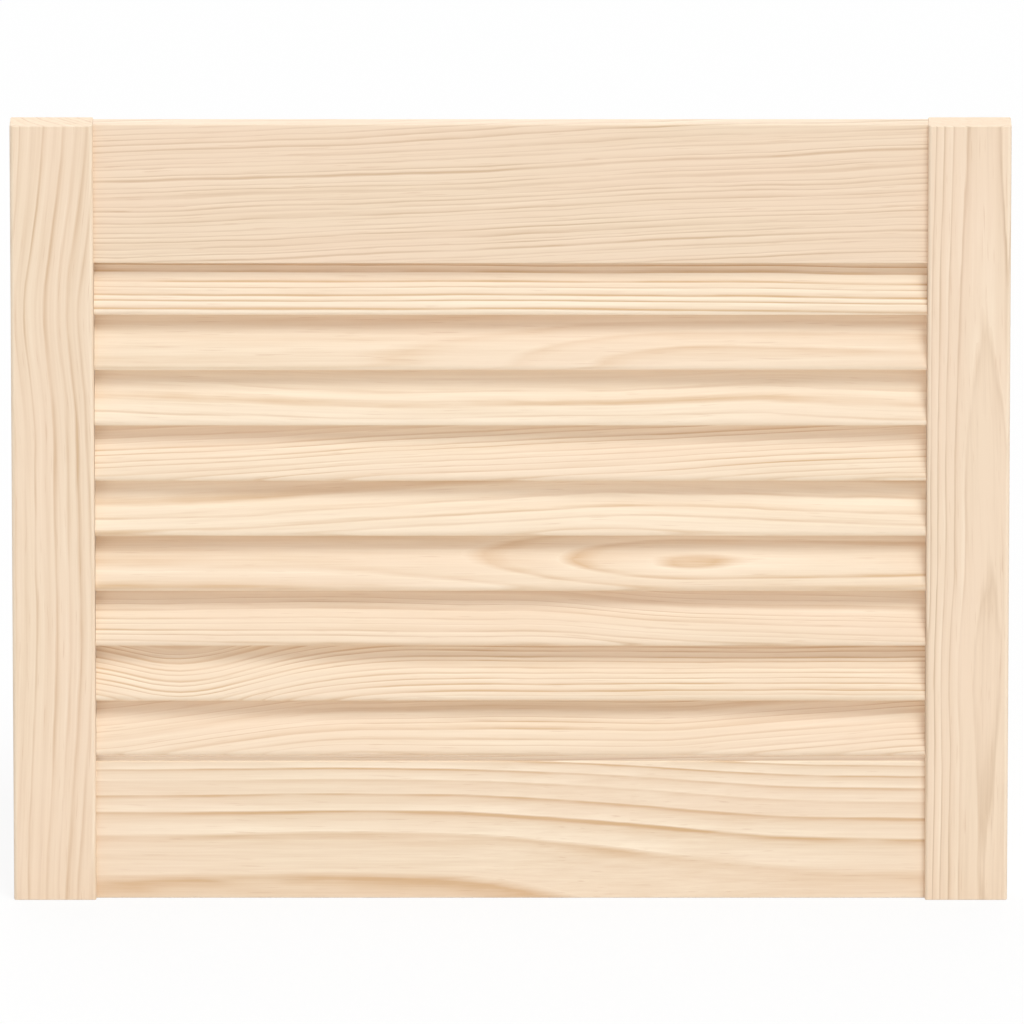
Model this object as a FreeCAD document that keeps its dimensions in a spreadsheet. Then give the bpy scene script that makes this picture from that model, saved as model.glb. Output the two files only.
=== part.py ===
# Slatted cabinet door in solid pine.
#
# Two upright stiles and two thinner rails make the frame, and glued dowels hold its corners.
# Sloping slats stand between the stiles, each with a stub tenon in a blind mortise at either end.
# X runs across the door, the front faces -Y and Z is up. The origin lies under the middle of the
# door, on its bottom edge. Lengths are in millimetres and angles in degrees.
import FreeCAD
import Part
import Sketcher
import math
import os

# Driving sizes, one cell of the sheet each
SIZES = {
    "door_width": 494.0,
    "door_height": 395.0,
    "stile_width": 41.0,
    "stile_thickness": 20.0,
    "stile_edge_radius": 2.0,
    "stile_end_bevel": 0.6,
    "rail_height": 70.5,
    "rail_thickness": 12.0,
    "rail_edge_radius": 0.8,
    "slat_count": 9,
    "slat_width": 31.0,
    "slat_thickness": 5.0,
    "slat_tilt": 24.0,
    "slat_clearance": 0.15,
    "bottom_nose_gap": 2.8,
    "top_nose_drop": 26.2,
    "tenon_width": 22.0,
    "tenon_length": 8.0,
    "dowel_diameter": 6.0,
    "dowel_length": 30.0,
    "dowel_spacing": 40.0,
    "dowel_bevel": 0.8,
    "dowel_clearance": 0.05,
    "dowel_end_room": 1.0,
    "flute_count": 10,
    "flute_depth": 0.3,
    "flute_radius": 0.5,
}

LEFT = -1
RIGHT = 1

# A length or an angle below this counts as nothing when edges are sorted.
NEGLIGIBLE = 1e-6

# Derived sizes, as expressions on the sheet's cells
OPENING_WIDTH = "(Sizes.door_width - 2 * Sizes.stile_width)"
OPENING_HEIGHT = "(Sizes.door_height - 2 * Sizes.rail_height)"
STILE_CENTRE = "(Sizes.door_width - Sizes.stile_width) / 2"
RAIL_CENTRES = {
    "bottom": "Sizes.rail_height / 2",
    "top": "Sizes.door_height - Sizes.rail_height / 2",
}
DOWEL_STEPS = {
    "lower": "-Sizes.dowel_spacing / 2",
    "upper": "Sizes.dowel_spacing / 2",
}
DOWEL_HOLE_DIAMETER = "Sizes.dowel_diameter + 2 * Sizes.dowel_clearance"
DOWEL_HOLE_DEPTH = "Sizes.dowel_length / 2 + Sizes.dowel_end_room"

# A slat's rise is the height that its tilted section takes up, from nose to upper edge.
SLAT_RISE = (
    "((Sizes.slat_width - Sizes.slat_thickness) * cos(Sizes.slat_tilt * 1 deg) + Sizes.slat_thickness)"
)
SLAT_STEP = (
    f"(({OPENING_HEIGHT} - Sizes.bottom_nose_gap - Sizes.top_nose_drop) / (Sizes.slat_count - 1))"
)
LOWEST_SLAT_CENTRE = f"(Sizes.rail_height + Sizes.bottom_nose_gap + {SLAT_RISE} / 2)"
SLAT_TILT = "-Sizes.slat_tilt * 1 deg"
MORTISE_WIDTH = "Sizes.tenon_width + 2 * Sizes.slat_clearance"
MORTISE_THICKNESS = "Sizes.slat_thickness + 2 * Sizes.slat_clearance"

doc = FreeCAD.newDocument("SlattedDoor")
sheet = doc.addObject("Spreadsheet::Sheet", "Sizes")
for row, (alias, value) in enumerate(SIZES.items(), start=1):
    sheet.set(f"A{row}", alias)
    sheet.set(f"B{row}", str(value))
    sheet.setAlias(f"B{row}", alias)
doc.recompute()


def origin_feature(body, role):
    """Return one of a body's own origin planes or axes."""
    return next(item for item in body.Origin.OriginFeatures if item.Role == role)


def new_body(label):
    """Start a solid piece. Its label names its file."""
    body = doc.addObject("PartDesign::Body", label)
    body.Label = label
    return body


def new_sketch(body, name, plane_role):
    """Add an empty sketch on one of the body's origin planes."""
    sketch = body.newObject("Sketcher::SketchObject", name)
    sketch.AttachmentSupport = [(origin_feature(body, plane_role), "")]
    sketch.MapMode = "FlatFace"
    return sketch


def drive(sketch, constraint, name, expression):
    """Add a dimension to a sketch, named and bound to the sheet, which then sets its real value."""
    index = sketch.addConstraint(constraint)
    sketch.renameConstraint(index, name)
    sketch.setExpression(f"Constraints.{name}", expression)


def draw_rectangle(sketch, width, height):
    """Draw a rectangle centred on the sketch's origin."""
    corners = [(-1, -1), (1, -1), (1, 1), (-1, 1)]
    points = [FreeCAD.Vector(x, y, 0) for x, y in corners]
    for start, end in zip(points, points[1:] + points[:1]):
        sketch.addGeometry(Part.LineSegment(start, end))
    for line in range(4):
        sketch.addConstraint(Sketcher.Constraint("Coincident", line, 2, (line + 1) % 4, 1))
    for line in (0, 2):
        sketch.addConstraint(Sketcher.Constraint("Horizontal", line))
    for line in (1, 3):
        sketch.addConstraint(Sketcher.Constraint("Vertical", line))
    sketch.addConstraint(Sketcher.Constraint("Symmetric", 0, 1, 2, 1, -1, 1))
    drive(sketch, Sketcher.Constraint("DistanceX", 0, 1, 0, 2, 2.0), "width", width)
    drive(sketch, Sketcher.Constraint("DistanceY", 1, 1, 1, 2, 2.0), "height", height)


def draw_stadium(sketch, width, thickness):
    """Draw an upright bar with round ends, centred on the sketch's origin."""
    up = FreeCAD.Vector(0, 2, 0)
    side = FreeCAD.Vector(1, 0, 0)
    normal = FreeCAD.Vector(0, 0, 1)
    sketch.addGeometry(Part.LineSegment(-side - up, -side + up))
    sketch.addGeometry(Part.ArcOfCircle(Part.Circle(up, normal, 1), 0, math.pi))
    sketch.addGeometry(Part.LineSegment(side + up, side - up))
    sketch.addGeometry(Part.ArcOfCircle(Part.Circle(-up, normal, 1), math.pi, 2 * math.pi))
    sketch.addConstraint(Sketcher.Constraint("Tangent", 0, 2, 1, 2))
    sketch.addConstraint(Sketcher.Constraint("Tangent", 1, 1, 2, 1))
    sketch.addConstraint(Sketcher.Constraint("Tangent", 2, 2, 3, 2))
    sketch.addConstraint(Sketcher.Constraint("Tangent", 3, 1, 0, 1))
    sketch.addConstraint(Sketcher.Constraint("Vertical", 0))
    sketch.addConstraint(Sketcher.Constraint("PointOnObject", 1, 3, -2))
    sketch.addConstraint(Sketcher.Constraint("Symmetric", 1, 3, 3, 3, -1, 1))
    drive(sketch, Sketcher.Constraint("Radius", 1, 1.0), "radius", f"({thickness}) / 2")
    drive(sketch, Sketcher.Constraint("DistanceY", 3, 3, 1, 3, 4.0), "length", f"{width} - ({thickness})")


def draw_circles(sketch, diameter, heights):
    """Draw circles on the sketch's upright axis, at the given heights."""
    for number, height in enumerate(heights):
        centre = FreeCAD.Vector(0, number + 1, 0)
        sketch.addGeometry(Part.Circle(centre, FreeCAD.Vector(0, 0, 1), 1))
        sketch.addConstraint(Sketcher.Constraint("PointOnObject", number, 3, -2))
        level = Sketcher.Constraint("DistanceY", -1, 1, number, 3, centre.y)
        drive(sketch, level, f"height_{number}", height)
        drive(sketch, Sketcher.Constraint("Diameter", number, 2.0), f"diameter_{number}", diameter)


def pad(body, name, sketch, length, both_ways=False):
    """Extrude a sketch to a length, one way or evenly both ways."""
    feature = body.newObject("PartDesign::Pad", name)
    feature.Profile = sketch
    feature.SideType = "Symmetric" if both_ways else "One side"
    feature.setExpression("Length", length)
    doc.recompute()
    return feature


def pocket(body, name, sketch, depth, reverse=False):
    """Cut a sketch into the body, and make sure that it removed material."""
    volume_before = body.Shape.Volume
    feature = body.newObject("PartDesign::Pocket", name)
    feature.Profile = sketch
    feature.Reversed = reverse
    feature.setExpression("Length", depth)
    doc.recompute()
    if body.Shape.Volume >= volume_before:
        raise RuntimeError(f"{body.Label}: {name} cut nothing")
    return feature


def dress_edges(body, kind, name, is_wanted, size_property, size):
    """Fillet or chamfer the edges of the body's last feature that pass a test."""
    base = body.Tip
    edges = [f"Edge{number}" for number, edge in enumerate(base.Shape.Edges, start=1) if is_wanted(edge)]
    feature = body.newObject(f"PartDesign::{kind}", name)
    feature.Base = (base, edges)
    feature.setExpression(size_property, size)
    doc.recompute()


def runs_along(direction):
    """Return a test for straight edges along one axis."""
    def test(edge):
        if not isinstance(edge.Curve, Part.Line):
            return False
        return edge.Curve.Direction.cross(direction).Length < NEGLIGIBLE
    return test


def crosses(direction):
    """Return a test for the edges that lie flat across one axis, such as those round an end face."""
    def test(edge):
        along = [vertex.Point.dot(direction) for vertex in edge.Vertexes]
        return max(along) - min(along) < NEGLIGIBLE
    return test


def place(piece, x=None, y=None, z=None):
    """Bind the position of a piece to the sheet."""
    for axis, expression in (("x", x), ("y", y), ("z", z)):
        if expression is not None:
            piece.setExpression(f"Placement.Base.{axis}", expression)


def make_stile(label, side):
    """Make an upright side board. The inner edge has the slats' mortises and the dowel holes."""
    body = new_body(label)
    section = new_sketch(body, f"{label}_section", "XY_Plane")
    draw_rectangle(section, "Sizes.stile_width", "Sizes.stile_thickness")
    pad(body, f"{label}_board", section, "Sizes.door_height")
    up = FreeCAD.Vector(0, 0, 1)
    dress_edges(body, "Fillet", f"{label}_edges", runs_along(up), "Radius", "Sizes.stile_edge_radius")
    dress_edges(body, "Chamfer", f"{label}_ends", crosses(up), "Size", "Sizes.stile_end_bevel")

    # The inner edge of the left stile faces +X, and that of the right stile faces -X.
    inner_edge = f"{-side} * Sizes.stile_width / 2"
    mortise_sketch = new_sketch(body, f"{label}_mortise_outline", "YZ_Plane")
    draw_stadium(mortise_sketch, MORTISE_WIDTH, MORTISE_THICKNESS)
    mortise_sketch.AttachmentOffset = FreeCAD.Placement(
        FreeCAD.Vector(0, 0, 0), FreeCAD.Rotation(FreeCAD.Vector(0, 0, 1), -SIZES["slat_tilt"])
    )
    mortise_sketch.setExpression("AttachmentOffset.Rotation.Angle", SLAT_TILT)
    mortise_sketch.setExpression("AttachmentOffset.Base.y", LOWEST_SLAT_CENTRE)
    mortise_sketch.setExpression("AttachmentOffset.Base.z", inner_edge)
    mortise_depth = "Sizes.tenon_length + Sizes.slat_clearance"
    mortise = pocket(body, f"{label}_mortise", mortise_sketch, mortise_depth, reverse=side == RIGHT)
    mortises = body.newObject("PartDesign::LinearPattern", f"{label}_mortises")
    mortises.Originals = [mortise]
    mortises.Direction = (origin_feature(body, "Z_Axis"), [""])
    mortises.setExpression("Length", f"{SLAT_STEP} * (Sizes.slat_count - 1)")
    mortises.setExpression("Occurrences", "Sizes.slat_count")
    body.Tip = mortises
    doc.recompute()

    hole_sketch = new_sketch(body, f"{label}_dowel_hole_outline", "YZ_Plane")
    heights = [f"{rail} + ({step})" for rail in RAIL_CENTRES.values() for step in DOWEL_STEPS.values()]
    draw_circles(hole_sketch, DOWEL_HOLE_DIAMETER, heights)
    hole_sketch.setExpression("AttachmentOffset.Base.z", inner_edge)
    pocket(body, f"{label}_dowel_holes", hole_sketch, DOWEL_HOLE_DEPTH, reverse=side == RIGHT)
    place(body, x=f"{side} * {STILE_CENTRE}")
    return body


def make_rail(label, centre_height):
    """Make a cross board that butts against both stiles, with dowel holes in its ends."""
    body = new_body(label)
    section = new_sketch(body, f"{label}_section", "YZ_Plane")
    draw_rectangle(section, "Sizes.rail_thickness", "Sizes.rail_height")
    pad(body, f"{label}_board", section, OPENING_WIDTH, both_ways=True)
    across = FreeCAD.Vector(1, 0, 0)
    dress_edges(body, "Fillet", f"{label}_edges", runs_along(across), "Radius", "Sizes.rail_edge_radius")

    hole_sketch = new_sketch(body, f"{label}_dowel_hole_outline", "YZ_Plane")
    draw_circles(hole_sketch, DOWEL_HOLE_DIAMETER, DOWEL_STEPS.values())
    hole_sketch.setExpression("AttachmentOffset.Base.z", f"{OPENING_WIDTH} / 2")
    holes = pocket(body, f"{label}_right_dowel_holes", hole_sketch, DOWEL_HOLE_DEPTH)
    both_ends = body.newObject("PartDesign::Mirrored", f"{label}_dowel_holes")
    both_ends.Originals = [holes]
    both_ends.MirrorPlane = (origin_feature(body, "YZ_Plane"), [""])
    body.Tip = both_ends
    doc.recompute()
    place(body, z=centre_height)
    return body


def make_slat(label, number):
    """Make one sloping slat, with a bullnose along both edges and a stub tenon at each end."""
    body = new_body(label)
    section = new_sketch(body, f"{label}_section", "YZ_Plane")
    draw_stadium(section, "Sizes.slat_width", "Sizes.slat_thickness")
    pad(body, f"{label}_blade", section, f"{OPENING_WIDTH} - 2 * Sizes.slat_clearance", both_ways=True)
    tenon_section = new_sketch(body, f"{label}_tenon_section", "YZ_Plane")
    draw_stadium(tenon_section, "Sizes.tenon_width", "Sizes.slat_thickness")
    pad(body, f"{label}_tenons", tenon_section, f"{OPENING_WIDTH} + 2 * Sizes.tenon_length", both_ways=True)
    tilt = FreeCAD.Rotation(FreeCAD.Vector(1, 0, 0), -SIZES["slat_tilt"])
    body.Placement = FreeCAD.Placement(FreeCAD.Vector(0, 0, 0), tilt)
    body.setExpression("Placement.Rotation.Angle", SLAT_TILT)
    place(body, z=f"{LOWEST_SLAT_CENTRE} + {number - 1} * {SLAT_STEP}")
    return body


def trim_under_top_rail(slat, label):
    """Rip the upper edge of the highest slat level, just under the top rail."""
    waste = doc.addObject("Part::Box", f"{label}_waste")
    waste.setExpression("Length", "Sizes.door_width")
    waste.setExpression("Width", "Sizes.stile_thickness")
    waste.setExpression("Height", "Sizes.slat_width")
    cut_height = "Sizes.door_height - Sizes.rail_height - Sizes.slat_clearance"
    place(waste, x="-Sizes.door_width / 2", y="-Sizes.stile_thickness / 2", z=cut_height)
    slat.Label = f"{label}_blank"
    trimmed = doc.addObject("Part::Cut", label)
    trimmed.Label = label
    trimmed.Base = slat
    trimmed.Tool = waste
    return trimmed


def make_dowel(label, side, height):
    """Make a fluted dowel with bevelled ends, centred on the joint between rail and stile."""
    body = new_body(label)
    section = new_sketch(body, f"{label}_section", "YZ_Plane")
    draw_circles(section, "Sizes.dowel_diameter", ["0"])
    pad(body, f"{label}_pin", section, "Sizes.dowel_length", both_ways=True)
    across = FreeCAD.Vector(1, 0, 0)
    dress_edges(body, "Chamfer", f"{label}_ends", crosses(across), "Size", "Sizes.dowel_bevel")

    flute_sketch = new_sketch(body, f"{label}_flute_outline", "YZ_Plane")
    flute_centre = "Sizes.dowel_diameter / 2 + Sizes.flute_radius - Sizes.flute_depth"
    draw_circles(flute_sketch, "2 * Sizes.flute_radius", [flute_centre])
    flute_sketch.setExpression("AttachmentOffset.Base.z", "Sizes.dowel_length / 2")
    flute = pocket(body, f"{label}_flute", flute_sketch, "Sizes.dowel_length")
    flutes = body.newObject("PartDesign::PolarPattern", f"{label}_flutes")
    flutes.Originals = [flute]
    flutes.Axis = (origin_feature(body, "X_Axis"), [""])
    flutes.Angle = 360
    flutes.setExpression("Occurrences", "Sizes.flute_count")
    body.Tip = flutes
    doc.recompute()
    place(body, x=f"{side} * {OPENING_WIDTH} / 2", z=height)
    return body


pieces = [make_stile("stile_left", LEFT), make_stile("stile_right", RIGHT)]
for rail_name, rail_centre in RAIL_CENTRES.items():
    pieces.append(make_rail(f"rail_{rail_name}", rail_centre))
    for side_name, side in (("left", LEFT), ("right", RIGHT)):
        for step_name, step in DOWEL_STEPS.items():
            dowel_label = f"dowel_{rail_name}_{side_name}_{step_name}"
            pieces.append(make_dowel(dowel_label, side, f"{rail_centre} + ({step})"))
slat_count = int(SIZES["slat_count"])
for number in range(1, slat_count):
    pieces.append(make_slat(f"slat_{number}", number))
top_slat_label = f"slat_{slat_count}"
pieces.append(trim_under_top_rail(make_slat(top_slat_label, slat_count), top_slat_label))
doc.recompute()

# Nothing is written unless every feature built and every piece is one valid solid.
for item in doc.Objects:
    if "Invalid" in item.State or "Error" in item.State:
        raise RuntimeError(f"{item.Label} failed: {item.State}")
for piece in pieces:
    if piece.Shape.isNull() or not piece.Shape.isValid() or len(piece.Shape.Solids) != 1:
        raise RuntimeError(f"{piece.Label} isn't one valid solid")

os.makedirs("parts", exist_ok=True)
for piece in pieces:
    piece.Shape.exportStep(f"parts/{piece.Label}.step")
    print(f"{piece.Label}: {piece.Shape.Volume / 1000:.1f} cubic centimetres")
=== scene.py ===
# %% [markdown]
# # A slatted cabinet door in planed pine
#
# The door is a frame of four boards with nine sloping slats in it. The CAD solids fix every size. This
# lesson gives the door its looks: boards with truly rounded edges, slats made by one Geometry Nodes tree,
# and one pine for all of them, figured like sawn timber, because each board gets a place in a log before
# the growth rings are drawn.

# %% Load the CAD frame
import math
import bmesh
import bpy
import numpy as np
from mathutils import Color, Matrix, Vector


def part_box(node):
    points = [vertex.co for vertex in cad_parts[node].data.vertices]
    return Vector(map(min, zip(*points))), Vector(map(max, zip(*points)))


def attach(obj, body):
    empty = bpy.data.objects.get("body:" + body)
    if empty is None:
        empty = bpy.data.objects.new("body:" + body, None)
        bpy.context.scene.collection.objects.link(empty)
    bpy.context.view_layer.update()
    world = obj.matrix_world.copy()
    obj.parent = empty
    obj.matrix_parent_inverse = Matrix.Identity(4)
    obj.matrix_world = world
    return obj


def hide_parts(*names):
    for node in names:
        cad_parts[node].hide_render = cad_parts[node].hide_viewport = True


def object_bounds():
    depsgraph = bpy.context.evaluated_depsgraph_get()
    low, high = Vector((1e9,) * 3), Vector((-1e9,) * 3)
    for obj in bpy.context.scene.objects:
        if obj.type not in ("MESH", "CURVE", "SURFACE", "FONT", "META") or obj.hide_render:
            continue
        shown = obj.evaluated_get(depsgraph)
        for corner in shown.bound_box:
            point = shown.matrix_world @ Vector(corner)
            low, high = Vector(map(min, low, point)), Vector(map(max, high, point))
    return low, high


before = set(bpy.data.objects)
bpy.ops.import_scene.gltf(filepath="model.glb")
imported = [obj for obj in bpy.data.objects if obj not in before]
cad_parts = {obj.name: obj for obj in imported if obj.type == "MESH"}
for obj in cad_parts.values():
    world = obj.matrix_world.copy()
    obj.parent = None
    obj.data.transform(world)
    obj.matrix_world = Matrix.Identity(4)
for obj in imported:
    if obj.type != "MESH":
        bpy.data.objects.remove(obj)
cad_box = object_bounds()
MILLIMETRE = 0.001


def in_millimetres(box):
    """Return the corners of a box in rounded millimetres, for printing."""
    return [[round(value / MILLIMETRE, 1) for value in corner] for corner in box]


print("solids:", len(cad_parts), "box in mm:", in_millimetres(cad_box))

# %% [markdown]
# ## Measure the door
#
# Everything that follows takes its size from the solids. The box round a slat is the box round a tilted bar
# with round edges, so once the thickness is known, the depth and the height of that box give the tilt and
# the width of the bar.

# %% Read the sizes from the solids
SLAT_THICKNESS = 5 * MILLIMETRE
SLAT_CLEARANCE = 0.15 * MILLIMETRE
slat_nodes = sorted(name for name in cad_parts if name.startswith("slat_"))
dowel_nodes = sorted(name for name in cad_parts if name.startswith("dowel_"))
lowest_low, lowest_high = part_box("slat_1")
slat_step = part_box("slat_2")[0].z - lowest_low.z
slat_run = lowest_high.y - lowest_low.y - SLAT_THICKNESS
slat_climb = lowest_high.z - lowest_low.z - SLAT_THICKNESS
slat_tilt = math.atan2(slat_run, slat_climb)
slat_width = math.hypot(slat_run, slat_climb) + SLAT_THICKNESS
slat_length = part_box("stile_right")[0].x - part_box("stile_left")[1].x - 2 * SLAT_CLEARANCE
lowest_slat_height = (lowest_low.z + lowest_high.z) / 2
highest_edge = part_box(f"slat_{len(slat_nodes)}")[1].z
print(f"slats: {len(slat_nodes)}, {math.degrees(slat_tilt):.1f} degrees off upright")
print(f"slat width: {slat_width / MILLIMETRE:.1f} mm, step: {slat_step / MILLIMETRE:.1f} mm")

# %% [markdown]
# ## Sawing each board from a log
#
# The figure of a board is the trace of the log's growth rings on its faces. A board sawn beside the heart
# shows long arches, and one sawn along a radius shows straight stripes. A picture of wood could be laid on
# the boards, but it would look the same on each and stop at the edges. So every point of a board gets a
# place in a log: how far along the log it lies, and how far across and how deep it lies from the heart.
# Mesh attributes carry that place to the material, which draws the rings round the heart. The heart of a
# real log wanders, so its path may sway across a board and sink behind it. A log isn't quite round either,
# so a board may have a dent or two in its rings, which saw out as nested arcs or a lens.

# %% Describe a cut from a log
STRAIGHT = ((0, 0),)
NO_DENT = (0, 0, 0, 1, 1, 1)
DENTS = ("first_dent", "second_dent")
FIGURE = ("ring", "crowding", "birth", "bend", "uneven", "thinness", "strength", "tone")
SMOOTHING = 18 * MILLIMETRE
SMOOTHING_STEPS = 9


def wander(along, stops):
    """Return how far the heart has moved at places along a board, with the corners of its path smoothed."""
    stop_places, stop_moves = np.array(stops, dtype=float).T * MILLIMETRE
    shifts = np.linspace(-SMOOTHING, SMOOTHING, SMOOTHING_STEPS)
    return np.mean([np.interp(along + shift, stop_places, stop_moves) for shift in shifts], axis=0)


def cut_from_log(
    start, heart_across, heart_depth, sway=STRAIGHT, sink=STRAIGHT, ring=3.5, crowding=1.0, birth=0.0,
    bend=1.0, uneven=1.0, thinness=1.0, strength=1.0, tone=0.0, first_dent=NO_DENT, second_dent=NO_DENT,
):
    """Describe a board's place in a log, with lengths in millimetres, apart from the start in metres.

    The heart lies across the board and behind its middle. Sway and sink are stops on its path: a place
    along the board, and how far the heart has moved there. Years are counted from a birth year, as the
    distance from the heart in ring widths, raised to a power where the rings crowd outwards. Bend and
    uneven make the rings less regular. Thinness above 1 gives thin dark lines, and below 1 thin pale ones.
    Strength sets how dark the lines are, and tone how pale the whole board is. A dent is its place along
    and across the board, its depth, and how far it reaches back, ahead and across.
    """
    heart_across = heart_across * MILLIMETRE
    cut = {
        "start": start,
        "heart_across": heart_across,
        "heart_depth": heart_depth * MILLIMETRE,
        "sway": sway,
        "sink": sink,
        "ring": ring * MILLIMETRE,
        "crowding": crowding,
        "birth": birth,
        "bend": bend,
        "uneven": uneven,
        "thinness": thinness,
        "strength": strength,
        "tone": tone,
    }
    for name, dent in zip(DENTS, (first_dent, second_dent)):
        along, across, depth, *reach = (value * MILLIMETRE for value in dent)
        cut[f"{name}_place"] = (along + start, across - heart_across - wander(along, sway), depth)
        cut[f"{name}_reach"] = reach
    return cut


def log_place(along, across, depth, cut):
    """Return the places in the log of points of a board, one row each."""
    return np.column_stack((
        along + cut["start"],
        across - cut["heart_across"] - wander(along, cut["sway"]),
        depth - cut["heart_depth"] - wander(along, cut["sink"]),
    ))


# %% Store a cut on a mesh
def store(mesh, name, domain, values):
    """Write numbers or vectors to a mesh attribute."""
    values = np.asarray(values, dtype=np.float32)
    kind, field = ("FLOAT_VECTOR", "vector") if values.ndim == 2 else ("FLOAT", "value")
    mesh.attributes.new(name, kind, domain).data.foreach_set(field, values.ravel())


def read(mesh_data, field, width):
    """Read numbers, or rows of numbers, from mesh points or an attribute."""
    values = np.empty(len(mesh_data) * width, dtype=np.float32)
    mesh_data.foreach_get(field, values)
    return values.reshape(-1, width).astype(float)


def saw_boards(mesh, board_points, board_numbers, cuts):
    """Store the log places of a mesh's points. Each point belongs to the board with its number."""
    places = np.zeros_like(board_points)
    for number, cut in enumerate(cuts):
        own = board_numbers == number
        along, across, depth = board_points[own].T
        places[own] = log_place(along, across, depth, cut)
    store(mesh, "log_place", "POINT", places)
    dent_names = [f"{dent}_{part}" for dent in DENTS for part in ("place", "reach")]
    for name in (*FIGURE, *dent_names):
        store(mesh, name, "POINT", np.array([cut[name] for cut in cuts])[board_numbers])


# %% [markdown]
# ## Stiles and rails
#
# The frame boards are planed timber with their long edges rounded over by a cutter and their ends just
# broken with sandpaper. The roundings could be drawn into a section and swept, but then the ends would need
# work of their own. A box with weighted edges and a Bevel modifier gives both at once: full weight for the
# rounded edges, a part of it for the ends. Hardened normals keep the broad faces flat to the light. The box
# is cut into short lengths first, so that the grain stored on its points can follow a wandering heart.

# %% Shape a frame board
EDGE_SEGMENTS = 6
LENGTH_CUTS = 48
TINY = 0.001 * MILLIMETRE
ACROSS_DOOR, THROUGH_DOOR, UP_DOOR = 0, 1, 2


def shape_board(name, node, long_axis, edge_radius, end_bevel):
    """Make a box that fills the box of a CAD node, with a Bevel modifier for its edges."""
    low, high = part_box(node)
    shape = bmesh.new()
    bmesh.ops.create_cube(shape, size=1)
    for vertex in shape.verts:
        vertex.co = Vector([high[axis] if vertex.co[axis] > 0 else low[axis] for axis in range(3)])

    def runs_along(edge):
        first, second = (vertex.co[long_axis] for vertex in edge.verts)
        return abs(first - second) > TINY

    def is_at_end(edge):
        place = edge.verts[0].co[long_axis]
        return min(place - low[long_axis], high[long_axis] - place) < TINY

    long_edges = [edge for edge in shape.edges if runs_along(edge)]
    bmesh.ops.subdivide_edges(shape, edges=long_edges, cuts=LENGTH_CUTS, use_grid_fill=True)
    weight = shape.edges.layers.float.new("bevel_weight_edge")
    for edge in shape.edges:
        if runs_along(edge):
            edge[weight] = 1.0
        elif is_at_end(edge):
            edge[weight] = end_bevel / edge_radius
    mesh = bpy.data.meshes.new(name)
    shape.to_mesh(mesh)
    shape.free()
    board = bpy.data.objects.new(name, mesh)
    bpy.context.scene.collection.objects.link(board)
    bevel = board.modifiers.new("rounded edges", "BEVEL")
    bevel.limit_method = "WEIGHT"
    bevel.width = edge_radius
    bevel.segments = EDGE_SEGMENTS
    bevel.harden_normals = True
    return board


# %% Turn a piece into a plain mesh
def settle(piece):
    """Turn an object with modifiers into a plain mesh object."""
    bpy.context.view_layer.update()
    graph = bpy.context.evaluated_depsgraph_get()
    evaluated = piece.evaluated_get(graph)
    mesh = bpy.data.meshes.new_from_object(evaluated, preserve_all_data_layers=True, depsgraph=graph)
    piece.modifiers.clear()
    piece.data = mesh
    mesh.name = piece.name
    return piece


# %% [markdown]
# The cuts below follow the photograph. The left stile has soft wavy lines. The right one has fine lines
# along its left edge, and a tall thin arch with a long lens below it, where the heart comes nearest to the
# face. The top rail is full of fine sloping lines. The rings of the bottom rail crowd together towards its
# upper edge and dive to the right.

# %% Choose the cuts of the frame boards
frame_cuts = {
    "stile_left": cut_from_log(
        0.3, 52, 34,
        sway=((-197, -5), (-109, -1), (-62, 1), (0, 0), (49, -1), (105, -7), (146, -2), (197, 3)),
        ring=3.9, bend=1.3, thinness=0.45, strength=1.15, tone=-0.2,
    ),
    "stile_right": cut_from_log(
        1.7, 8, 28.1, sway=((-197, 1), (-33, 3), (91, -1), (197, -1)),
        sink=((-197, -0.8), (-117, -0.9), (-78, -1.5), (-33, -0.6), (32, -0.1), (87, 1.4), (197, 2.5)),
        ring=2.0, birth=463.27, bend=0.3, uneven=0.0, thinness=1.2, strength=1.7, tone=-0.35,
    ),
    "rail_top": cut_from_log(
        2.9, 120, 30, sway=((-206, -9), (206, 9)),
        ring=2.6, bend=1.6, thinness=0.7, strength=1.5, tone=-0.25,
    ),
    "rail_bottom": cut_from_log(
        4.4, -45, 39, sink=((-206, 1.5), (-91, 0), (-20, 1), (101, 10.2), (141, 12.6), (206, 13.7)),
        ring=48.4, crowding=3.0, birth=-0.22, bend=0.4, uneven=0.0, strength=1.7,
    ),
}
print("cuts:", ", ".join(frame_cuts))

# %% Make the four frame boards
STILE_RADIUS = 2 * MILLIMETRE
STILE_END_BEVEL = 0.6 * MILLIMETRE
RAIL_RADIUS = 0.8 * MILLIMETRE
RAIL_END_BEVEL = 0.0
END_FACING = 0.9


def mark_board(mesh, long_axis):
    """Store where a board's rounded edges and its end grain are."""
    points = read(mesh.vertices, "co", 3)
    low = points.min(axis=0)
    high = points.max(axis=0)
    inside = np.minimum(points - low, high - points) > TINY
    # The rounded edges are marked here so that they can be painted paler: partly sanding, partly a painted
    # highlight.
    store(mesh, "rounded", "POINT", inside.all(axis=1))
    at_end = [abs(polygon.normal[long_axis]) > END_FACING for polygon in mesh.polygons]
    store(mesh, "end_grain", "FACE", at_end)


frame_boards = {}
for node, cut in frame_cuts.items():
    is_stile = node.startswith("stile")
    long_axis, across_axis = (UP_DOOR, ACROSS_DOOR) if is_stile else (ACROSS_DOOR, UP_DOOR)
    radius, end_bevel = (STILE_RADIUS, STILE_END_BEVEL) if is_stile else (RAIL_RADIUS, RAIL_END_BEVEL)
    board = settle(shape_board(f"{node}_board", node, long_axis, radius, end_bevel))
    points = read(board.data.vertices, "co", 3)
    centred = points - (points.min(axis=0) + points.max(axis=0)) / 2
    own_axes = [long_axis, across_axis, THROUGH_DOOR]
    saw_boards(board.data, centred[:, own_axes], np.zeros(len(points), dtype=int), [cut])
    mark_board(board.data, long_axis)
    frame_boards[node] = board
    print(board.name, "faces:", len(board.data.polygons))

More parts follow.
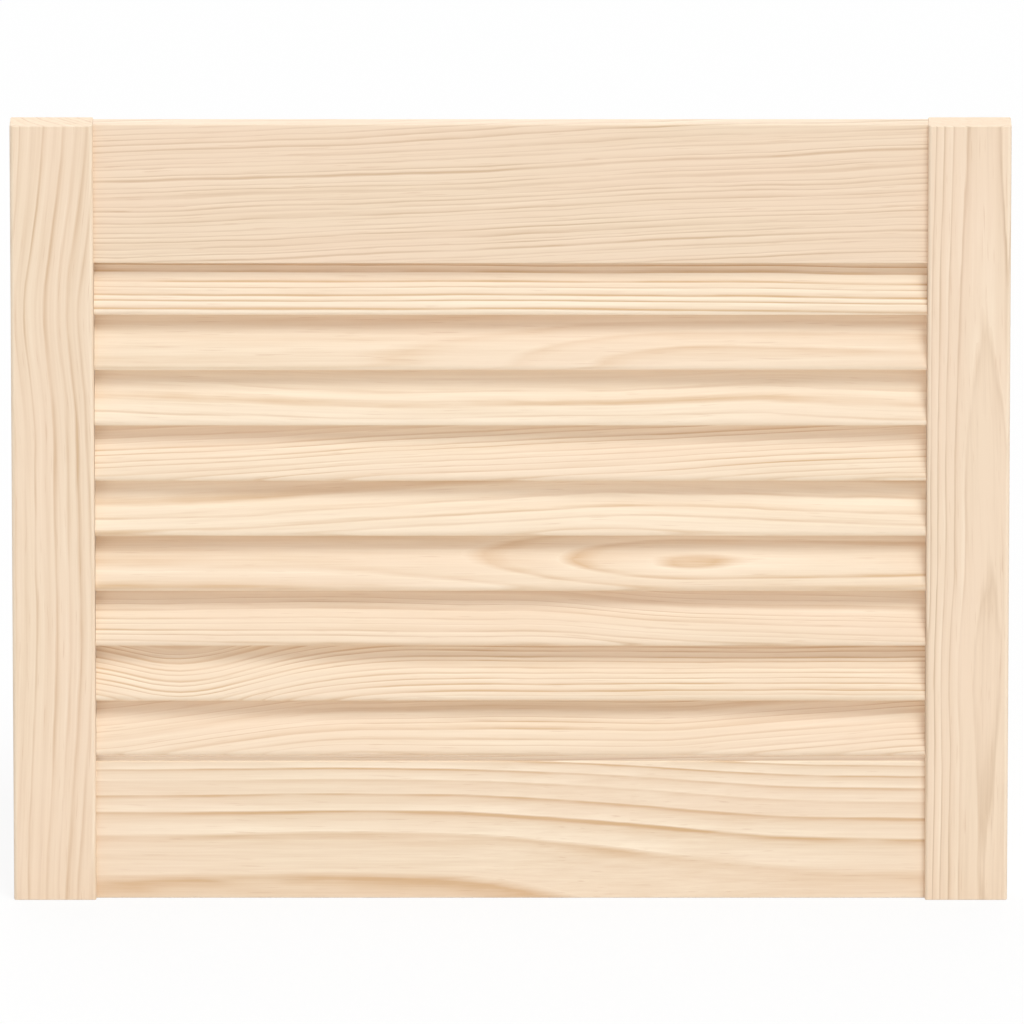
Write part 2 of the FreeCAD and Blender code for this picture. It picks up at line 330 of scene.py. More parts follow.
# %% [markdown]
# ## A short way to write node trees
#
# Both the slats and the woods are node trees. This small class writes them one step at a time: each call
# adds a node, sets or links its inputs by name, and hands back the result for the next step.

# %% Write node trees step by step
class Recipe:
    """A node tree that is written one step at a time."""

    def __init__(self, tree):
        self.tree = tree

    def feed(self, socket, value):
        """Link a socket, or set its value."""
        if isinstance(value, bpy.types.NodeSocket):
            self.tree.links.new(value, socket)
        else:
            socket.default_value = value

    def add(self, kind, settings=None, **inputs):
        """Add a node, with its settings and its inputs by name, and return it."""
        node = self.tree.nodes.new(kind)
        for name, value in (settings or {}).items():
            setattr(node, name, value)
        for name, value in inputs.items():
            self.feed(node.inputs[name.replace("_", " ")], value)
        return node

    def make(self, kind, settings=None, **inputs):
        """Add a node and return its first result."""
        return self.add(kind, settings, **inputs).outputs[0]

    def maths(self, operation, *values):
        """Add a Math node and return its result."""
        node = self.add("ShaderNodeMath", {"operation": operation})
        for socket, value in zip(node.inputs, values):
            self.feed(socket, value)
        return node.outputs[0]

    def vector(self, **parts):
        """Join X, Y and Z into a vector."""
        return self.make("ShaderNodeCombineXYZ", **parts)

    def parts(self, vector):
        """Split a vector into its X, Y and Z."""
        return list(self.add("ShaderNodeSeparateXYZ", Vector=vector).outputs)


# %% [markdown]
# ## Slats
#
# The slats are thin bars with bullnose edges, let into the stiles one step apart. Each could be modelled and
# copied by hand, but nine alike pieces in a row are what Geometry Nodes are for: one tree makes them all,
# and its inputs are the sizes. It starts with one bar, whose section is swept along the opening. The two
# halves of a nose almost touch at its tip, so points that lie that close are merged. The bar's own
# coordinates are stored before it is copied, so that the grain can follow each slat.

# %% Draw one slat
NOSE_ROUNDNESS = 0.4999
NOSE_GAP = 0.01 * MILLIMETRE


def draw_slat(recipe, sizes):
    """Sweep a bar with bullnose edges along the opening, and store its own coordinates."""
    half = recipe.maths("MULTIPLY", sizes["Length"], 0.5)
    left_end = recipe.vector(X=recipe.maths("MULTIPLY", half, -1.0))
    path = recipe.make("GeometryNodeCurvePrimitiveLine", Start=left_end, End=recipe.vector(X=half))
    path = recipe.make("GeometryNodeResampleCurve", Curve=path, Count=sizes["Stations"])
    bar = recipe.make(
        "GeometryNodeCurvePrimitiveQuadrilateral", Width=sizes["Thickness"], Height=sizes["Width"]
    )
    radius = recipe.maths("MULTIPLY", sizes["Thickness"], NOSE_ROUNDNESS)
    section = recipe.make(
        "GeometryNodeFilletCurve", {"mode": "POLY"}, Curve=bar, Count=sizes["Nose Segments"], Radius=radius
    )
    slat = recipe.make("GeometryNodeCurveToMesh", Curve=path, Profile_Curve=section, Fill_Caps=True)
    slat = recipe.make("GeometryNodeMergeByDistance", Geometry=slat, Distance=NOSE_GAP)
    place = recipe.make("GeometryNodeInputPosition")
    as_place = {"data_type": "FLOAT_VECTOR", "domain": "POINT"}
    return recipe.make(
        "GeometryNodeStoreNamedAttribute", as_place, Geometry=slat, Name="slat_place", Value=place
    )


# %% [markdown]
# A tilted copy of the bar stands on each point of an upright line, and the number of each copy is stored.
# The highest slat was ripped level to go under the top rail, so the points above that height slide back
# down the slope. Edges that fold sharply, at the ends and where the slat was ripped, are kept crisp.

# %% Stack and rip the slats
SHARPEST_NOSE = math.radians(45)


def stack_slats(recipe, sizes, slat):
    """Stand a tilted copy of a slat on each point of an upright line, and number the copies."""
    lowest = recipe.vector(Z=sizes["Lowest"])
    step = recipe.vector(Z=sizes["Step"])
    stack = recipe.make("GeometryNodeMeshLine", Count=sizes["Count"], Start_Location=lowest, Offset=step)
    tilt = recipe.vector(X=recipe.maths("MULTIPLY", sizes["Tilt"], -1.0))
    tilt = recipe.make("FunctionNodeEulerToRotation", Euler=tilt)
    copies = recipe.make("GeometryNodeInstanceOnPoints", Points=stack, Instance=slat, Rotation=tilt)
    number = recipe.make("GeometryNodeInputIndex")
    as_number = {"data_type": "INT", "domain": "INSTANCE"}
    copies = recipe.make(
        "GeometryNodeStoreNamedAttribute", as_number, Geometry=copies, Name="slat_number", Value=number
    )
    return recipe.make("GeometryNodeRealizeInstances", Geometry=copies)


def rip_highest(recipe, sizes, slats):
    """Slide the points above the highest edge back down the slope."""
    height = recipe.parts(recipe.make("GeometryNodeInputPosition"))[UP_DOOR]
    drop = recipe.maths("MINIMUM", recipe.maths("SUBTRACT", sizes["Highest Edge"], height), 0.0)
    forwards = recipe.maths("MULTIPLY", drop, recipe.maths("TANGENT", sizes["Tilt"]))
    slide = recipe.vector(Y=forwards, Z=drop)
    return recipe.make("GeometryNodeSetPosition", Geometry=slats, Offset=slide)


def keep_crisp(recipe, slats):
    """Leave the edges that fold sharply out of the smooth shading."""
    fold = recipe.add("GeometryNodeInputMeshEdgeAngle").outputs["Unsigned Angle"]
    is_crisp = recipe.maths("GREATER_THAN", fold, SHARPEST_NOSE)
    on_edges = {"domain": "EDGE"}
    return recipe.make(
        "GeometryNodeSetShadeSmooth", on_edges, Geometry=slats, Selection=is_crisp, Shade_Smooth=False
    )


# %% Build the slat tree
SLAT_INPUTS = {
    "NodeSocketInt": ("Count", "Stations", "Nose Segments"),
    "NodeSocketFloat": ("Length", "Width", "Thickness", "Tilt", "Step", "Lowest", "Highest Edge"),
    "NodeSocketMaterial": ("Wood",),
}


def slat_tree():
    """Return a node tree that makes all the slats from named sizes."""
    tree = bpy.data.node_groups.new("sloping slats", "GeometryNodeTree")
    for kind, labels in SLAT_INPUTS.items():
        for label in labels:
            tree.interface.new_socket(label, in_out="INPUT", socket_type=kind)
    tree.interface.new_socket("Slats", in_out="OUTPUT", socket_type="NodeSocketGeometry")
    recipe = Recipe(tree)
    sizes = recipe.add("NodeGroupInput").outputs
    slats = stack_slats(recipe, sizes, draw_slat(recipe, sizes))
    slats = rip_highest(recipe, sizes, slats)
    slats = keep_crisp(recipe, slats)
    slats = recipe.make("GeometryNodeSetMaterial", Geometry=slats, Material=sizes["Wood"])
    recipe.add("NodeGroupOutput", Slats=slats)
    return tree


# %% Make the slats
NOSE_SEGMENTS = 9
STATIONS = 60
FLAT_FACE_WEIGHT = 100
pine = bpy.data.materials.new("planed_pine")
slats = bpy.data.objects.new("slats", bpy.data.meshes.new("slats"))
bpy.context.scene.collection.objects.link(slats)
slat_maker = slats.modifiers.new("sloping slats", "NODES")
slat_maker.node_group = slat_tree()
slat_sizes = {
    "Count": len(slat_nodes),
    "Stations": STATIONS,
    "Nose Segments": NOSE_SEGMENTS,
    "Length": slat_length,
    "Width": slat_width,
    "Thickness": SLAT_THICKNESS,
    "Tilt": slat_tilt,
    "Step": slat_step,
    "Lowest": lowest_slat_height,
    "Highest Edge": highest_edge,
    "Wood": pine,
}
for socket in slat_maker.node_group.interface.items_tree:
    if socket.name in slat_sizes:
        slat_maker[socket.identifier] = slat_sizes[socket.name]
flat_faces = slats.modifiers.new("flat faces stay flat", "WEIGHTED_NORMAL")
flat_faces.weight = FLAT_FACE_WEIGHT
flat_faces.keep_sharp = True
settle(slats)
heights = read(slats.data.vertices, "co", 3)[:, UP_DOOR]
print(f"slats: {len(slats.data.polygons)} faces, from {heights.min():.4f} m to {heights.max():.4f} m")

# %% [markdown]
# The slats are offcuts of different boards, so each one gets its own place in a log. A heart far to the side
# gives stripes, and a heart that sways gives waves. A dent in the rings gives the nested arcs of the fourth
# and the eighth slat, counted from the lowest, and a small second dent gives the lens of the fourth.

# %% Choose the cuts of the slats
slat_cuts = [
    cut_from_log(
        0.9, 60, 38, sway=((-206, -12), (-90, 3), (80, 2), (206, 15)), ring=3.0, strength=1.5, tone=-0.05,
    ),
    cut_from_log(
        2.1, 75, 20, sway=((-206, 3), (-178, -5), (-160, -7), (-100, 8), (-60, 12), (206, 12)), ring=2.7,
        thinness=0.7, strength=1.8,
    ),
    cut_from_log(
        3.6, 62, 34, sway=((-206, 4), (20, 2), (70, -3), (206, -6)), ring=2.8, strength=1.5, tone=-0.1,
    ),
    cut_from_log(
        5.2, 4, 32.5, ring=3.4, birth=2.3, bend=0.25, uneven=0.0, thinness=0.6, strength=1.3,
        first_dent=(90, -3.3, -9.3, 95, 400, 21), second_dent=(90, -3.3, -1.0, 23, 23, 6),
    ),
    cut_from_log(
        6.3, 24, 40, sway=((-206, -8), (45, 4), (206, -2)), ring=3.4, strength=0.75, tone=0.2,
    ),
    cut_from_log(
        7.9, 80, 34, sway=((-206, -11), (206, 11)), ring=2.7, strength=1.5,
    ),
    cut_from_log(
        9.1, 22, 40, sway=((-206, 4), (-60, -2), (60, -1), (130, 3), (206, 0)), ring=3.8, strength=0.8,
        tone=0.2,
    ),
    cut_from_log(
        10.9, -14, 85, ring=3.2, birth=0.69, bend=0.3, uneven=0.0, thinness=0.6, strength=0.9,
        first_dent=(95, -14, -8.9, 100, 400, 24),
    ),
    cut_from_log(
        11.8, 105, 8, sway=((-206, 1), (206, -1)), ring=3.8, bend=0.6, strength=3.0, tone=0.1,
    ),
]
print("slat cuts:", len(slat_cuts))

# %% Saw the slats
ALONG_SLAT, THROUGH_SLAT, ACROSS_SLAT = 0, 1, 2
slat_numbers = read(slats.data.attributes["slat_number"].data, "value", 1)[:, 0].astype(int)
slat_places = read(slats.data.attributes["slat_place"].data, "vector", 3)
slat_axes = [ALONG_SLAT, ACROSS_SLAT, THROUGH_SLAT]
saw_boards(slats.data, slat_places[:, slat_axes], slat_numbers, slat_cuts)
nose_radius = SLAT_THICKNESS / 2
nose_start = slat_width / 2 - nose_radius
nose_share = (np.abs(slat_places[:, ACROSS_SLAT]) - nose_start) / nose_radius
# The noses are marked here so that they can be painted paler: partly sanding, partly a painted highlight.
store(slats.data, "rounded", "POINT", np.clip(nose_share, 0, 1))
at_slat_end = [abs(polygon.normal.x) > END_FACING for polygon in slats.data.polygons]
store(slats.data, "end_grain", "FACE", at_slat_end)
print("sawn:", len(set(slat_numbers)), "slats with", len(slat_numbers), "points")

# %% [markdown]
# ## Pine
#
# Pine is pale early wood with a darker line of late wood at the end of each year. Going outwards, the
# colour deepens slowly and then drops back at once, so a ring is a lopsided ramp and not a wave. Noise bends
# the rings, makes the years uneven and draws the fibres, which run along the log. The surface is planed and
# unfinished: dull, with the late wood a little smoother and prouder than the early wood. Some helpers come
# first, because both woods are written with them.

# %% Helpers for wood
NOISE_ROUGHNESS = 0.55
NOISE_MIDDLE = 0.5


def empty_recipe(owner):
    """Return a recipe for the node tree of a material or a world, with nothing in it yet."""
    owner.use_nodes = True
    owner.node_tree.nodes.clear()
    return Recipe(owner.node_tree)


def attribute(recipe, name, output="Vector"):
    """Return one output of a mesh attribute."""
    return recipe.add("ShaderNodeAttribute", {"attribute_name": name}).outputs[output]


def noise(recipe, place, cycles, detail=2.0, offset=0.0):
    """Return smooth noise round zero, with so many cycles for each metre along the three axes."""
    moved = recipe.make("ShaderNodeMapping", Vector=place, Scale=cycles, Location=(offset, offset, offset))
    texture = recipe.make(
        "ShaderNodeTexNoise", Vector=moved, Scale=1.0, Detail=detail, Roughness=NOISE_ROUGHNESS
    )
    return recipe.maths("SUBTRACT", texture, NOISE_MIDDLE)


def ramp(recipe, value, stops):
    """Return a number read off a ramp of (position, number) stops."""
    node = recipe.add("ShaderNodeValToRGB", Fac=value)
    elements = node.color_ramp.elements
    while len(elements) < len(stops):
        elements.new(1.0)
    for element, (position, number) in zip(elements, stops):
        element.position = position
        element.color = (number, number, number, 1.0)
    return node.outputs["Color"]


# %% Helpers for colour
# A Mix node has sockets for several kinds of value. These are the places of the ones for colours.
FIRST_COLOUR, SECOND_COLOUR, MIXED_COLOUR = 6, 7, 2
BRIGHTEST = 255


def blend(recipe, amount, first, second, kind="MIX"):
    """Mix two colours by an amount from 0 to 1."""
    settings = {"data_type": "RGBA", "blend_type": kind, "clamp_factor": True}
    node = recipe.add("ShaderNodeMix", settings, Factor=amount)
    recipe.feed(node.inputs[FIRST_COLOUR], first)
    recipe.feed(node.inputs[SECOND_COLOUR], second)
    return node.outputs[MIXED_COLOUR]


def screen_colour(red, green, blue):
    """Turn a colour as a screen shows it, 0 to 255, into the linear values that shaders take."""
    shown = Color((red / BRIGHTEST, green / BRIGHTEST, blue / BRIGHTEST))
    return (*shown.from_srgb_to_scene_linear(), 1.0)


# %% [markdown]
# The rings come first. The distance from the heart, bent by noise and by the board's dents, is counted in
# years. The part of a year tells early wood from late wood. A lottery makes some years stronger, and patches
# of noise let each line fade and come back along the board.

# %% Draw a dent
def draw_dent(recipe, dent, along, across):
    """Return how far a dent moves the rings: deepest in its middle, and fading all round."""
    dent_along, dent_across, depth = recipe.parts(attribute(recipe, f"{dent}_place"))
    reach_back, reach_ahead, reach_across = recipe.parts(attribute(recipe, f"{dent}_reach"))
    off_along = recipe.maths("SUBTRACT", along, dent_along)
    is_ahead = recipe.maths("GREATER_THAN", off_along, 0.0)
    reach_gain = recipe.maths("SUBTRACT", reach_ahead, reach_back)
    reach_along = recipe.maths("MULTIPLY_ADD", is_ahead, reach_gain, reach_back)
    off_along = recipe.maths("DIVIDE", off_along, reach_along)
    off_across = recipe.maths("DIVIDE", recipe.maths("SUBTRACT", across, dent_across), reach_across)
    distance = recipe.maths("MULTIPLY", off_across, off_across)
    distance = recipe.maths("MULTIPLY_ADD", off_along, off_along, distance)
    fading = recipe.maths("EXPONENT", recipe.maths("MULTIPLY", distance, -1.0))
    return recipe.maths("MULTIPLY", fading, depth)


# %% Count the years
SLOW_BEND = 6.0 * MILLIMETRE
SLOW_BEND_CYCLES = (5.0, 20.0, 20.0)
QUICK_BEND = 1.4 * MILLIMETRE
QUICK_BEND_CYCLES = (17.0, 60.0, 60.0)
QUICK_BEND_OFFSET = 7.3
FEATHERING = 0.5 * MILLIMETRE
FEATHER_CYCLES = (25.0, 500.0, 500.0)
FEATHER_OFFSET = 31.0
GOOD_AND_BAD_YEARS = 0.6
UNEVENNESS = 1.2


def count_years(recipe, place, figure):
    """Return how many years after its birth the log grew the wood at a place."""
    along, across, depth = recipe.parts(place)
    square = recipe.maths("MULTIPLY_ADD", depth, depth, recipe.maths("MULTIPLY", across, across))
    slow_bend = recipe.maths("MULTIPLY", noise(recipe, place, SLOW_BEND_CYCLES, detail=1.0), SLOW_BEND)
    quick_bend = noise(recipe, place, QUICK_BEND_CYCLES, offset=QUICK_BEND_OFFSET)
    bending = recipe.maths("MULTIPLY_ADD", quick_bend, QUICK_BEND, slow_bend)
    reach = recipe.maths("MULTIPLY_ADD", bending, figure["bend"], recipe.maths("SQRT", square))
    feathers = noise(recipe, place, FEATHER_CYCLES, offset=FEATHER_OFFSET)
    reach = recipe.maths("MULTIPLY_ADD", feathers, FEATHERING, reach)
    for dent in DENTS:
        reach = recipe.maths("ADD", reach, draw_dent(recipe, dent, along, across))
    rings = recipe.maths("DIVIDE", reach, figure["ring"])
    years = recipe.maths("ADD", recipe.maths("POWER", rings, figure["crowding"]), figure["birth"])
    pace = recipe.maths("MULTIPLY", years, GOOD_AND_BAD_YEARS)
    weather = recipe.make("ShaderNodeTexNoise", {"noise_dimensions": "1D"}, W=pace, Scale=1.0, Detail=1.0)
    shift = recipe.maths("MULTIPLY", figure["uneven"], UNEVENNESS)
    return recipe.maths("MULTIPLY_ADD", weather, shift, years)


# %% Draw the years
# Each stop is a part of a year and how dark the wood is then.
YEAR_SHAPE = [(0.0, 0.0), (0.12, 0.06), (0.45, 0.22), (0.7, 0.38), (0.8, 0.7), (0.88, 1.0), (1.0, 0.0)]
YEAR_MIDDLE = 0.27
WEAKEST_YEAR = 0.25
PATCHINESS = 2.6
PATCH_CYCLES = (17.0, 90.0, 90.0)
PATCH_OFFSET = 23.0


def draw_years(recipe, place, figure):
    """Return how dark the year's growth is: below zero for early wood, above zero for late wood."""
    years = count_years(recipe, place, figure)
    lottery = recipe.make(
        "ShaderNodeTexWhiteNoise", {"noise_dimensions": "1D"}, W=recipe.maths("FLOOR", years)
    )
    luck = recipe.maths("MULTIPLY_ADD", lottery, 1.0 - WEAKEST_YEAR, WEAKEST_YEAR)
    patches = noise(recipe, place, PATCH_CYCLES, offset=PATCH_OFFSET)
    patches = recipe.maths("MULTIPLY_ADD", patches, PATCHINESS, 1.0)
    luck = recipe.maths("MULTIPLY", luck, recipe.maths("MAXIMUM", patches, 0.0))
    season = recipe.maths("POWER", recipe.maths("FRACT", years), figure["thinness"])
    growth = recipe.maths("SUBTRACT", ramp(recipe, season, YEAR_SHAPE), YEAR_MIDDLE)
    return recipe.maths("MULTIPLY", growth, recipe.maths("MULTIPLY", luck, figure["strength"]))


# %% [markdown]
# Fibres and streaks break up the plain wood between the lines. Here and there a resin duct was cut open, and
# shows as a short brown scratch. All of these are noise, drawn out along the log: few cycles along it, and
# very many across.

# %% Draw the fine grain
FIBRE_CYCLES = (26.0, 1000.0, 1000.0)
STREAK_CYCLES = (7.0, 330.0, 330.0)
STREAK_OFFSET = 3.1
DUCT_CYCLES = (55.0, 1500.0, 1500.0)
DUCT_OFFSET = 11.7
DUCT_STOPS = [(0.0, 0.0), (0.73, 0.0), (0.82, 1.0)]
CLOUD_CYCLES = (6.0, 30.0, 30.0)
CLOUD_OFFSET = 19.0


def draw_grain(recipe, place):
    """Return the fibres, streaks, resin ducts and clouds of colour at a place, by name."""
    ducts = noise(recipe, place, DUCT_CYCLES, detail=0.0, offset=DUCT_OFFSET)
    return {
        "fibres": noise(recipe, place, FIBRE_CYCLES, detail=3.0),
        "streaks": noise(recipe, place, STREAK_CYCLES, offset=STREAK_OFFSET),
        "ducts": ramp(recipe, recipe.maths("ADD", ducts, NOISE_MIDDLE), DUCT_STOPS),
        "clouds": noise(recipe, place, CLOUD_CYCLES, offset=CLOUD_OFFSET),
    }


# %% [markdown]
# The colours are those of fresh pine that has never seen varnish. Between the palest early wood and the late
# wood lie only some steps of brown, so the figure stays quiet. The darker boards have greyer lines. Clouds
# of pink drift over the boards. Rounded edges are painted a little paler, partly as the paleness of sanding
# and partly as a painted highlight where the rounding catches the light.

# %% Choose the colours of pine
PALE_WOOD = screen_colour(252, 236, 213)
PINE_WOOD = screen_colour(239, 218, 192)
LATE_WOOD = screen_colour(213, 177, 135)
GREY_LATE_WOOD = screen_colour(200, 180, 157)
PINK_CAST = screen_colour(243, 216, 192)
RESIN = screen_colour(196, 150, 108)
END_SHADE = screen_colour(254, 252, 249)
FIBRE_SHADE = 0.6
STREAK_SHADE = 0.7
TONE_SHADE = -0.3
TONE_PALENESS = 0.5
TONE_GREYNESS = -1.5
SHADE_PALENESS = -1.7
CLOUD_PINKNESS = 1.6
USUAL_PINKNESS = 0.2
PINK_SHARE = 0.55
RESIN_SHARE = 0.22
SANDED_AND_HIGHLIGHT_SHARE = 0.25


def colour_pine(recipe, growth, grain, tone):
    """Return the colour of pine from its growth, its fine grain and the tone of the board."""
    shade = recipe.maths("MULTIPLY_ADD", grain["streaks"], STREAK_SHADE, growth)
    shade = recipe.maths("MULTIPLY_ADD", grain["fibres"], FIBRE_SHADE, shade)
    shade = recipe.maths("MULTIPLY_ADD", tone, TONE_SHADE, shade)
    greyness = recipe.maths("MULTIPLY", tone, TONE_GREYNESS)
    late_wood = blend(recipe, greyness, LATE_WOOD, GREY_LATE_WOOD)
    colour = blend(recipe, shade, PINE_WOOD, late_wood)
    paleness = recipe.maths("MULTIPLY", tone, TONE_PALENESS)
    paleness = recipe.maths("MULTIPLY_ADD", shade, SHADE_PALENESS, paleness)
    colour = blend(recipe, paleness, colour, PALE_WOOD)
    pinkness = recipe.maths("MULTIPLY_ADD", grain["clouds"], CLOUD_PINKNESS, USUAL_PINKNESS)
    pinkness = recipe.maths("SUBTRACT", pinkness, tone)
    colour = blend(recipe, recipe.maths("MULTIPLY", pinkness, PINK_SHARE), colour, PINK_CAST)
    colour = blend(recipe, recipe.maths("MULTIPLY", grain["ducts"], RESIN_SHARE), colour, RESIN)
    colour = blend(recipe, attribute(recipe, "end_grain", "Fac"), colour, END_SHADE, kind="MULTIPLY")
    # Rounded edges and noses are painted paler here: partly the paleness of sanding, partly a painted
    # highlight.
    sanded_and_highlight = recipe.maths("MULTIPLY", attribute(recipe, "rounded", "Fac"), SANDED_AND_HIGHLIGHT_SHARE)
    return blend(recipe, sanded_and_highlight, colour, PALE_WOOD)


# %% Write the pine
PINE_DULLNESS = 0.62
LATE_GLOSS = -0.12
STREAK_DULLNESS = 0.15
FIBRE_RELIEF = 0.6
DUCT_RELIEF = -0.5
PINE_RELIEF = 0.06 * MILLIMETRE
PINE_BUMP = 0.35
PINE_SHINE = 0.35


def write_pine(material):
    """Fill a material with planed pine, drawn in the place that each point has in its log."""
    recipe = empty_recipe(material)
    place = attribute(recipe, "log_place")
    figure = {name: attribute(recipe, name, "Fac") for name in FIGURE}
    growth = draw_years(recipe, place, figure)
    grain = draw_grain(recipe, place)
    colour = colour_pine(recipe, growth, grain, figure["tone"])
    dullness = recipe.maths("MULTIPLY_ADD", growth, LATE_GLOSS, PINE_DULLNESS)
    dullness = recipe.maths("MULTIPLY_ADD", grain["streaks"], STREAK_DULLNESS, dullness)
    relief = recipe.maths("MULTIPLY_ADD", grain["fibres"], FIBRE_RELIEF, growth)
    relief = recipe.maths("MULTIPLY_ADD", grain["ducts"], DUCT_RELIEF, relief)
    normal = recipe.make("ShaderNodeBump", Height=relief, Strength=PINE_BUMP, Distance=PINE_RELIEF)
    surface = {"Base_Color": colour, "Roughness": dullness, "Normal": normal}
    wood = recipe.make("ShaderNodeBsdfPrincipled", Specular_IOR_Level=PINE_SHINE, **surface)
    recipe.add("ShaderNodeOutputMaterial", Surface=wood)


write_pine(pine)
print("pine:", len(pine.node_tree.nodes), "nodes")

# %% [markdown]
# ## Beech dowels
#
# The dowels are hidden in the corners, but the model comes apart, so they get a finish too: beech, pinker
# and denser than pine, with the short dark flecks that tell it apart. They keep their CAD shape.

# %% Write the beech
PALE_BEECH = screen_colour(222, 188, 154)
DARK_BEECH = screen_colour(196, 156, 120)
BEECH_FLECK = screen_colour(150, 108, 76)
BEECH_GRAIN_CYCLES = (12.0, 420.0, 420.0)
FLECK_CYCLES = (260.0, 1900.0, 1900.0)
FLECK_OFFSET = 5.0
FLECK_STOPS = [(0.0, 0.0), (0.66, 0.0), (0.76, 1.0)]
FLECK_SHARE = 0.6
BEECH_DULLNESS = 0.55
BEECH_GRAIN_DULLNESS = 0.2
BEECH_RELIEF = 0.05 * MILLIMETRE
BEECH_BUMP = 0.3


def write_beech(material):
    """Fill a material with turned beech, with the grain along the door's width."""
    recipe = empty_recipe(material)
    place = recipe.add("ShaderNodeTexCoord").outputs["Object"]
    grain = noise(recipe, place, BEECH_GRAIN_CYCLES, detail=3.0)
    flecks = noise(recipe, place, FLECK_CYCLES, detail=0.0, offset=FLECK_OFFSET)
    flecks = ramp(recipe, recipe.maths("ADD", flecks, NOISE_MIDDLE), FLECK_STOPS)
    colour = blend(recipe, recipe.maths("ADD", grain, NOISE_MIDDLE), PALE_BEECH, DARK_BEECH)
    colour = blend(recipe, recipe.maths("MULTIPLY", flecks, FLECK_SHARE), colour, BEECH_FLECK)
    dullness = recipe.maths("MULTIPLY_ADD", grain, BEECH_GRAIN_DULLNESS, BEECH_DULLNESS)
    normal = recipe.make("ShaderNodeBump", Height=grain, Strength=BEECH_BUMP, Distance=BEECH_RELIEF)
    wood = recipe.make("ShaderNodeBsdfPrincipled", Base_Color=colour, Roughness=dullness, Normal=normal)
    recipe.add("ShaderNodeOutputMaterial", Surface=wood)


def dress(piece, material):
    """Give a piece one material."""
    piece.data.materials.clear()
    piece.data.materials.append(material)


beech = bpy.data.materials.new("turned_beech")
write_beech(beech)
for node in dowel_nodes:
    dress(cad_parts[node], beech)
print("dowels:", len(dowel_nodes))

# %% [markdown]
# ## Put the pieces on the frame
#
# The new boards and slats stand for the CAD solids of the same size. Nothing on the door moves, so all of
# them ride on its one body, and all of them share the slot for pine.

# %% Ride and replace
for node, board in frame_boards.items():
    dress(board, pine)
    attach(board, "root")
    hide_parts(node)
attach(slats, "root")
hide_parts(*slat_nodes)
print("pieces:", len(frame_boards) + 1)

# %% [markdown]
# ## Floor and light
#
# The photograph is a cut-out on white. Lit paper alone would look grey there, and plain white alone would
# show no shadow. So most of what the camera sees of the floor is plain white, and the rest is lit paper,
# which keeps the door's shadow.

# %% Lay the floor
FLOOR_REACH = 15.0
WHITE_SHARE = 0.85
WHITE = (1.0, 1.0, 1.0, 1.0)
PAPER = (0.9, 0.9, 0.9, 1.0)
FIRST_SHADER, SECOND_SHADER = 1, 2


def seen_directly(recipe):
    """Return 1 for rays that show a surface to the camera, also in a mirror or through glass."""
    path = recipe.add("ShaderNodeLightPath").outputs
    seen = recipe.maths("MAXIMUM", path["Is Camera Ray"], path["Is Glossy Ray"])
    return recipe.maths("MAXIMUM", seen, path["Is Transmission Ray"])


corner_signs = ((-1, -1), (1, -1), (1, 1), (-1, 1))
corners = [(across * FLOOR_REACH, away * FLOOR_REACH, 0) for across, away in corner_signs]
floor_mesh = bpy.data.meshes.new("floor")
floor_mesh.from_pydata(corners, [], [range(len(corners))])
floor = bpy.data.objects.new("floor", floor_mesh)
bpy.context.scene.collection.objects.link(floor)
paper = bpy.data.materials.new("white_paper")
floor_recipe = empty_recipe(paper)
lit_paper = floor_recipe.make("ShaderNodeBsdfDiffuse", Color=PAPER)
plain_white = floor_recipe.make("ShaderNodeEmission", Color=WHITE, Strength=1.0)
white_part = floor_recipe.maths("MULTIPLY", seen_directly(floor_recipe), WHITE_SHARE)
mixed = floor_recipe.add("ShaderNodeMixShader", Fac=white_part)
floor_recipe.feed(mixed.inputs[FIRST_SHADER], lit_paper)
floor_recipe.feed(mixed.inputs[SECOND_SHADER], plain_white)
floor_recipe.add("ShaderNodeOutputMaterial", Surface=mixed.outputs[0])
floor_mesh.materials.append(paper)
print("floor:", 2 * FLOOR_REACH, "m wide")

# %% [markdown]
# The light is soft and comes from above. The world is white to the camera, and softer and a little warm to
# the door. The key lamp, in front and to the right, makes the shadows under the noses. A wide, weak lamp in
# front fills them, one above brightens the top faces, and one behind keeps the back from going dull. The
# fill is warm and the key is a little cool, so the shadows turn rosy and the lit wood keeps its own colour.

# %% Light the door
ROOM_LIGHT = (0.289, 0.273, 0.27, 1.0)
NEUTRAL = (1.0, 1.0, 1.0)
WARM = (1.0, 0.905, 0.87)
COOL = (0.945, 0.993, 1.0)
world = bpy.data.worlds.new("soft white room")
world_recipe = empty_recipe(world)
light = blend(world_recipe, seen_directly(world_recipe), ROOM_LIGHT, WHITE)
background = world_recipe.make("ShaderNodeBackground", Color=light, Strength=1.0)
world_recipe.add("ShaderNodeOutputWorld", Surface=background)
bpy.context.scene.world = world
door_middle = (cad_box[0] + cad_box[1]) / 2


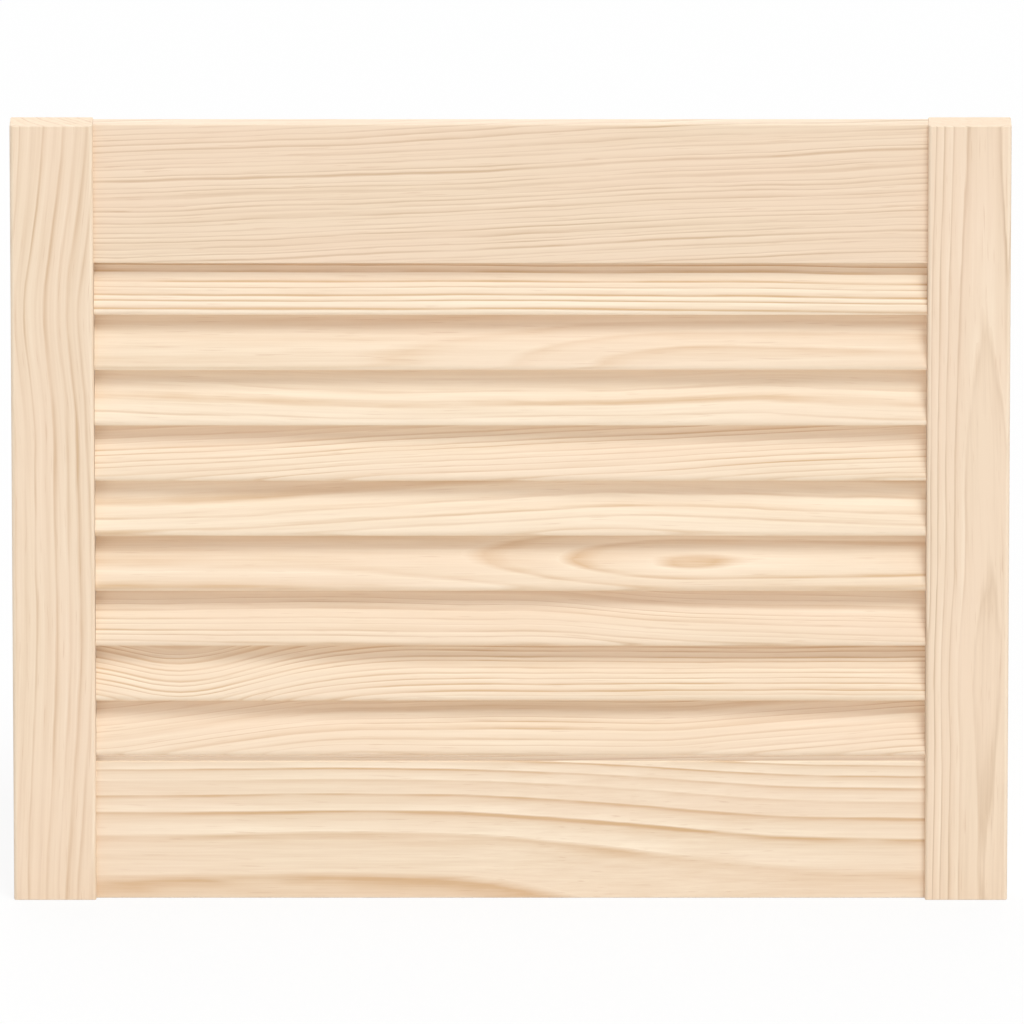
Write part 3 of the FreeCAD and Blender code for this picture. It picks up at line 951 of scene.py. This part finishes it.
def hang_lamp(name, place, width, strength, colour=NEUTRAL):
    """Add a soft lamp, so many degrees wide, that shines on the door from far off beyond a place."""
    data = bpy.data.lights.new(name, "SUN")
    data.color = colour
    data.angle = math.radians(width)
    data.energy = strength
    lamp = bpy.data.objects.new(name, data)
    lamp.location = place
    lamp.rotation_euler = (door_middle - Vector(place)).to_track_quat("-Z", "Y").to_euler()
    bpy.context.scene.collection.objects.link(lamp)
    return lamp


lamps = [
    hang_lamp("key lamp", (0.6, -1.18, 1.95), width=26, strength=1.72, colour=COOL),
    hang_lamp("fill lamp", (-0.3, -2.4, 0.5), width=60, strength=0.66, colour=WARM),
    hang_lamp("top lamp", (0.1, 0.6, 2.2), width=40, strength=0.85),
    hang_lamp("back lamp", (-0.5, 2.4, 0.7), width=60, strength=1.1, colour=COOL),
]
print("lamps:", ", ".join(lamp.name for lamp in lamps))

# %% [markdown]
# ## Camera
#
# The photograph looks down on the door: the tops of the stiles and rails show, and the gap over the bottom
# rail is closed by the rail's top face. Its upright lines are parallel, so a long lens from far away, raised
# just enough to show those top faces, comes closest.

# %% Set the camera
FRAME_WIDTH = 507 * MILLIMETRE
CAMERA_DISTANCE = 10.0
CAMERA_RISE = math.radians(14)
AIM_ASIDE = 0.7 * MILLIMETRE
AIM_HEIGHT = 199 * MILLIMETRE
SENSOR_WIDTH = 36.0
camera_data = bpy.data.cameras.new("camera")
camera_data.sensor_width = SENSOR_WIDTH
camera_data.lens = SENSOR_WIDTH * CAMERA_DISTANCE / FRAME_WIDTH
camera = bpy.data.objects.new("camera", camera_data)
aim = Vector((AIM_ASIDE, cad_box[0].y, AIM_HEIGHT))
camera.location = aim + CAMERA_DISTANCE * Vector((0.0, -math.cos(CAMERA_RISE), math.sin(CAMERA_RISE)))
camera.rotation_euler = (math.pi / 2 - CAMERA_RISE, 0.0, 0.0)
bpy.context.scene.collection.objects.link(camera)
bpy.context.scene.camera = camera
bpy.context.scene.view_settings.view_transform = "Standard"
print("lens:", round(camera_data.lens, 1), "mm")
